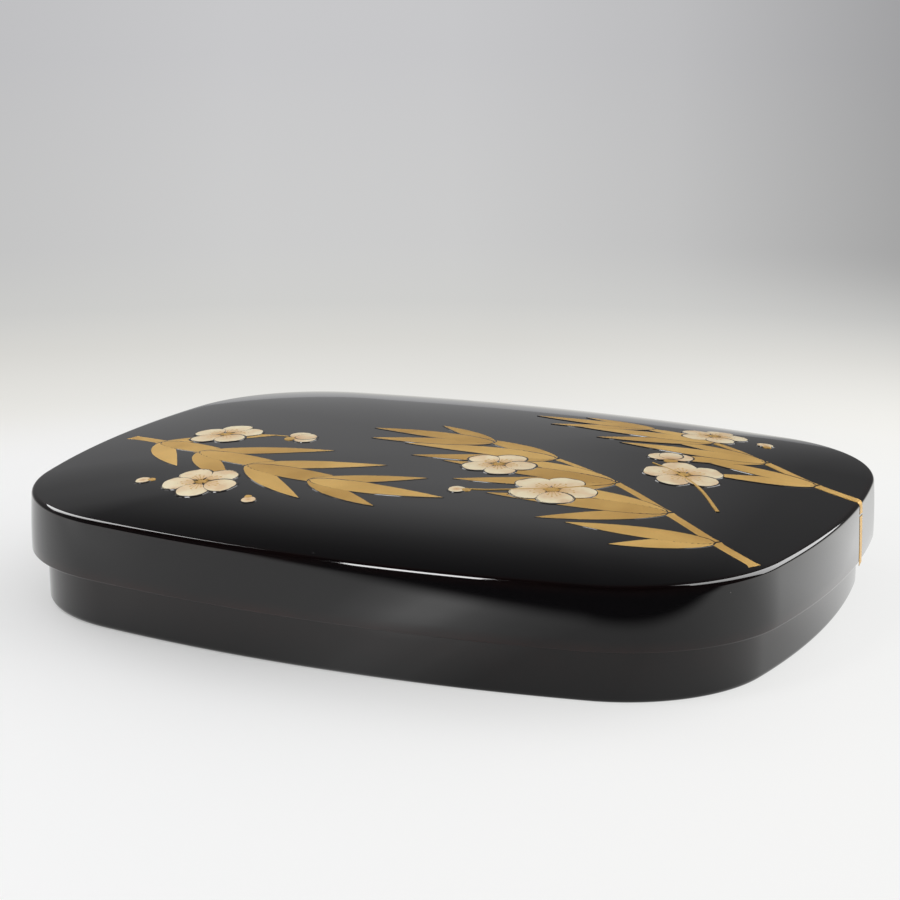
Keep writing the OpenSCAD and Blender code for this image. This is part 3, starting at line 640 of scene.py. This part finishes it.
# ---------------------------------------------------------------- table
# The box stands on a sheet of matt white card. In the photograph it is swept up behind the box
# and falls into shade there. Here it lies flat, and that shade is painted into its colour: painted
# shade that falls off with the distance from its brightest spot, in front of the box's middle.
bpy.ops.mesh.primitive_grid_add(x_subdivisions=2, y_subdivisions=2, size=12)
card = bpy.context.object
card.name = "card_table"
white_card, tree, shader = new_finish("matt_white_card", Roughness=0.75)
place = add(tree, "TexCoord").outputs["Object"]
brightest, fade_from, fade_to = (0.03, -0.13, 0), 0.2, 1.8
away = add(tree, "VectorMath", {0: place, 1: brightest}, operation="DISTANCE")
falloff = add(tree, "ValToRGB", {"Fac": add(tree, "MapRange", {
    "Value": away.outputs["Value"], "From Min": fade_from, "From Max": fade_to}).outputs[0]})
stops = falloff.color_ramp.elements
stops[0].position, stops[0].color = 0.03, linear("#F6F6F5")
stops[1].position, stops[1].color = 1.0, linear("#C8C8CA")
for distance, colour in ((0.32, "#F0F0EE"), (0.386, "#E8E7E3"), (0.444, "#E1E0DC"),
                         (0.507, "#D9D8D4"), (0.60, "#D0D0CE"), (0.776, "#CDCDCD")):
    stops.new((distance - fade_from) / (fade_to - fade_from)).color = linear(colour)
# Far from the box the card is painted darker to the sides, most of all to the right, where it turns
# towards the dark end of the room: painted shade. How far to the side goes by a slope: the way to
# the right over the way back from a place 0.68 m in front.
to_right, stand_off, side_slope = (0.91, 0.413, 0), 0.68, 0.25
aside = add(tree, "VectorMath", {0: place, 1: to_right}, operation="DOT_PRODUCT")
reach = add(tree, "Math", {0: away.outputs["Value"], 1: stand_off}, operation="ADD")
slope = add(tree, "Math", {0: aside.outputs["Value"], 1: reach.outputs[0]}, operation="DIVIDE")
sides = add(tree, "ValToRGB", {"Fac": add(tree, "MapRange", {
    "Value": slope.outputs[0], "From Min": -side_slope, "From Max": side_slope}).outputs[0]})
stops = sides.color_ramp.elements
stops[0].position, stops[0].color = 0.0, (0.86, 0.86, 0.86, 1)
stops[1].position, stops[1].color = 1.0, (0.5, 0.5, 0.5, 1)
for position, grey in ((0.17, 0.92), (0.334, 1.0), (0.5, 0.99), (0.667, 0.88), (0.833, 0.63)):
    stops.new(position).color = (grey, grey, grey, 1)
far = add(tree, "MapRange", {"Value": away.outputs["Value"], "From Min": 0.4, "From Max": 0.8},
          interpolation_type="SMOOTHSTEP")
# Just behind the box, on the right, painted light makes the card a little brighter, for the light
# from behind
lighter = add(tree, "MapRange", {"Value": slope.outputs[0], "From Min": 0.02, "From Max": 0.16,
                                 "To Max": 0.12})
back = add(tree, "MapRange", {"Value": away.outputs["Value"], "From Min": 0.27, "From Max": 0.38})
near = add(tree, "Math", {0: lighter.outputs[0], 1: back.outputs[0], 2: 1},
           operation="MULTIPLY_ADD")
sideways = add(tree, "Mix", {"Factor": far.outputs[0], "A": near.outputs[0],
                             "B": sides.outputs["Color"]}, data_type="RGBA")
shaded = add(tree, "Mix", {"Factor": 1.0, "A": falloff.outputs["Color"],
                           "B": sideways.outputs["Result"]}, data_type="RGBA",
             blend_type="MULTIPLY")
# What the gloss mirrors of the card is painted: painted light on the right, for the strong light
# behind the box, a painted bright patch in front, and painted shade between. The ramp runs round
# the box, at half its value.
path = add(tree, "LightPath")
along = add(tree, "SeparateXYZ", {"Vector": place})
ahead = add(tree, "Math", {0: along.outputs["Y"], 1: -1}, operation="MULTIPLY")
bearing = add(tree, "Math", {0: along.outputs["X"], 1: ahead.outputs[0]}, operation="ARCTAN2")
round_box = add(tree, "ValToRGB", {"Fac": add(tree, "MapRange", {
    "Value": bearing.outputs[0], "From Min": -math.pi, "From Max": math.pi}).outputs[0]})
stops = round_box.color_ramp.elements
stops[0].position, stops[0].color = 0.0, (0.5, 0.5, 0.5, 1)
stops[1].position, stops[1].color = 1.0, (0.5, 0.5, 0.5, 1)
for degrees, value in ((-80, 1.1), (-58, 1.35), (-47, 1.2), (-38, 0.96), (-28, 0.9),
                       (-18, 0.92), (-9, 1.0), (-3, 1.4), (2, 2.0), (6, 1.9), (10, 1.3),
                       (16, 0.92), (25, 0.64), (45, 0.64), (58, 0.8), (70, 1.0), (85, 1.15),
                       (103, 1.65), (125, 1.95)):
    stops.new(0.5 + degrees / 360).color = (value / 2, value / 2, value / 2, 1)
mirror = add(tree, "Mix", {"Factor": path.outputs["Is Glossy Ray"], "A": (0.5, 0.5, 0.5, 1),
                           "B": round_box.outputs["Color"]}, data_type="RGBA")
doubled = add(tree, "VectorMath", {0: mirror.outputs["Result"], "Scale": 2.0}, operation="SCALE")
# Close to the box, as painted shade of the box, most of the extra brightness is taken away
dimmed = add(tree, "VectorMath", {0: doubled.outputs[0], 1: (1, 1, 1)}, operation="MINIMUM")
over_one = add(tree, "VectorMath", {0: doubled.outputs[0], 1: dimmed.outputs[0]},
               operation="SUBTRACT")
left_in_shade = 0.15
clear_front = add(tree, "MapRange", {"Value": ahead.outputs[0], "From Min": 0.13,
                                     "From Max": 0.172, "To Min": left_in_shade})
clear_right = add(tree, "MapRange", {"Value": along.outputs["X"], "From Min": 0.118,
                                     "From Max": 0.145, "To Min": left_in_shade})
clear = add(tree, "Math", {0: clear_front.outputs[0], 1: clear_right.outputs[0]},
            operation="MAXIMUM")
extra = add(tree, "VectorMath", {0: over_one.outputs[0], "Scale": clear.outputs[0]},
            operation="SCALE")
glow = add(tree, "VectorMath", {0: dimmed.outputs[0], 1: extra.outputs[0]}, operation="ADD")
lit = add(tree, "Mix", {"Factor": 1.0, "A": shaded.outputs["Result"], "B": glow.outputs[0]},
          data_type="RGBA", blend_type="MULTIPLY")
ground = add(tree, "Mix", {"Factor": 1.0, "A": linear("#F6F6F6"), "B": dimmed.outputs[0]},
             data_type="RGBA", blend_type="MULTIPLY")
tree.links.new(ground.outputs["Result"], shader.inputs["Base Color"])
# The brightness above one glows from the card as painted light
tree.links.new(extra.outputs[0], shader.inputs["Emission Color"])
shader.inputs["Emission Strength"].default_value = 1.0
# Near the box the card takes the lamps' light and the box's shadow. Painted light thins that shadow
# out: the drawn colour is mixed in, most of all on the right. Further off it is drawn as plain
# colour.
seen = add(tree, "Math", {0: path.outputs["Is Camera Ray"], 1: path.outputs["Is Glossy Ray"]},
           operation="MAXIMUM")
beyond = add(tree, "MapRange", {"Value": away.outputs["Value"], "From Min": 0.26,
                                "From Max": 0.42}, interpolation_type="SMOOTHSTEP")
rightward = add(tree, "VectorMath", {0: place, 1: (0.96, 0.28, 0)}, operation="DOT_PRODUCT")
thinned = add(tree, "MapRange", {"Value": rightward.outputs["Value"], "From Min": -0.06,
                                 "From Max": 0.125, "To Min": 0.3, "To Max": 0.85})
either = add(tree, "Math", {0: beyond.outputs[0], 1: thinned.outputs[0]}, operation="MAXIMUM")
drawn = add(tree, "Math", {0: seen.outputs[0], 1: either.outputs[0]}, operation="MULTIPLY")
plain = add(tree, "Emission", {"Color": lit.outputs["Result"], "Strength": 1.0})
mixed = add(tree, "MixShader", {0: drawn.outputs[0], 1: shader.outputs[0], 2: plain.outputs[0]})
# Painted reflection: for glossy rays only, a band of the card in front of the box, out of the
# picture, is painted near black, in place of a black flag
frontward = add(tree, "VectorMath", {0: place, 1: (0.411, -0.911, 0)}, operation="DOT_PRODUCT")
painted_dark_band = add(tree, "MapRange", {"Value": frontward.outputs["Value"], "From Min": 0.19,
                              "From Max": 0.232}, interpolation_type="SMOOTHSTEP")
dark_band_mirrored = add(tree, "Math", {0: painted_dark_band.outputs[0], 1: path.outputs["Is Glossy Ray"]},
              operation="MULTIPLY")
black = add(tree, "Emission", {"Color": (0.04, 0.04, 0.042, 1), "Strength": 1.0})
with_painted_dark_band = add(tree, "MixShader", {0: dark_band_mirrored.outputs[0], 1: mixed.outputs[0],
                                    2: black.outputs[0]})
tree.links.new(with_painted_dark_band.outputs[0], tree.nodes["Material Output"].inputs["Surface"])
card.data.materials.append(white_card)

# ---------------------------------------------------------------- room
# Even soft light for the surfaces. What the gloss mirrors is a pale sweep behind the box, which
# fades upwards and to both sides, and a dark room in front.
world = bpy.data.worlds.new("studio")
bpy.context.scene.world = world
world.use_nodes = True
tree = world.node_tree
path = add(tree, "LightPath")
facing = add(tree, "TexCoord").outputs["Generated"]
height = add(tree, "SeparateXYZ", {"Vector": facing})
sweep = add(tree, "ValToRGB", {"Fac": height.outputs["Z"]})
stops = sweep.color_ramp.elements
stops[0].position, stops[0].color = 0.0, (0.36, 0.36, 0.365, 1)
stops[1].position, stops[1].color = 0.75, (0.02, 0.02, 0.02, 1)
for position, grey in ((0.28, 0.37), (0.34, 0.41), (0.44, 0.41), (0.48, 0.35), (0.53, 0.26),
                       (0.574, 0.165), (0.62, 0.10), (0.66, 0.065), (0.70, 0.035)):
    stops.new(position).color = (grey, grey, grey * 1.01, 1)
behind = add(tree, "VectorMath", {0: facing, 1: (-0.438, 0.899, 0)}, operation="DOT_PRODUCT")
beside = add(tree, "VectorMath", {0: facing, 1: (0.899, 0.438, 0)}, operation="DOT_PRODUCT")
turned = add(tree, "Math", {0: beside.outputs["Value"], 1: behind.outputs["Value"]},
             operation="ARCTAN2")
across = add(tree, "ValToRGB", {"Fac": add(tree, "MapRange", {
    "Value": turned.outputs[0], "From Min": -math.pi, "From Max": math.pi}).outputs[0]})
stops = across.color_ramp.elements
stops[0].position, stops[0].color = 0.0, (0.06, 0.06, 0.06, 1)
stops[1].position, stops[1].color = 1.0, (0.06, 0.06, 0.06, 1)
for degrees, grey in ((-110, 0.1), (-60, 0.4), (-14, 0.6), (-10, 0.68), (-6, 0.85), (-2, 0.98),
                      (2, 1.0), (4, 0.92), (7, 0.72), (10, 0.6), (12, 0.48), (14, 0.38),
                      (18, 0.35), (60, 0.3), (110, 0.08)):
    stops.new(0.5 + degrees / 360).color = (grey, grey, grey, 1)
mirrored = add(tree, "Mix", {"Factor": 1.0, "A": sweep.outputs["Color"],
                             "B": across.outputs["Color"]}, data_type="RGBA",
               blend_type="MULTIPLY")
soft = add(tree, "Mix", {"Factor": path.outputs["Is Glossy Ray"], "A": (0.65, 0.65, 0.656, 1),
                         "B": mirrored.outputs["Result"]}, data_type="RGBA")
seen = add(tree, "Mix", {"Factor": path.outputs["Is Camera Ray"], "A": soft.outputs["Result"],
                         "B": linear("#C6C7C9")}, data_type="RGBA")
tree.links.new(seen.outputs["Result"], tree.nodes["Background"].inputs["Color"])

# ---------------------------------------------------------------- softboxes and camera
# Three softboxes stand round the box: one at its left, a narrow one in front and a large one
# behind it on the right. The lid's edge mirrors them as light lines.
lamp_distance, aim_at, fill_share = 1.5, Vector((0, 0, 0.03)), 0.42


def softbox(name, azimuth, elevation, wide, tall, radiance, roll=0):
    """A softbox at an azimuth from the front towards +X. Angles are in degrees.

    The gloss mirrors it at full strength, and a share of that lights the surfaces, which keeps
    the white card below clipping.
    """
    a, e = math.radians(azimuth), math.radians(elevation)
    way = Vector((math.sin(a) * math.cos(e), -math.cos(a) * math.cos(e), math.sin(e)))
    spot = lamp_distance * way
    for purpose, share in (("gloss", 1), ("fill", fill_share)):
        light = bpy.data.lights.new(f"{name}_{purpose}", "AREA")
        light.shape, light.size, light.size_y = "RECTANGLE", wide, tall
        light.energy = share * radiance * math.pi * wide * tall
        lamp = bpy.data.objects.new(light.name, light)
        lamp.location = spot
        aim = (aim_at - spot).to_track_quat("-Z", "Y")
        lamp.rotation_euler = (aim @ Quaternion((0, 0, 1), math.radians(roll))).to_euler()
        lamp.visible_camera = False
        lamp.visible_glossy = purpose == "gloss"
        lamp.visible_diffuse = purpose == "fill"
        bpy.context.scene.collection.objects.link(lamp)


softbox("left_softbox", -111, 39, 0.78, 0.62, 5.8)
softbox("front_softbox", -26.5, 51, 0.32, 0.72, 17, roll=25)
softbox("back_softbox", 137, 39, 1.1, 1.65, 5.4)

# The place and lens of the photograph's camera come from a fit to the outlines of the box
camera = bpy.data.objects.new("camera", bpy.data.cameras.new("camera"))
camera.location = (0.33295, -0.73794, 0.25428)
camera.rotation_euler = (math.radians(90 - 14.521), 0, math.radians(24.433))
camera.data.lens = 103.79
camera.data.sensor_width = 36
bpy.context.scene.collection.objects.link(camera)
bpy.context.scene.camera = camera
bpy.context.scene.view_settings.view_transform = "Standard"
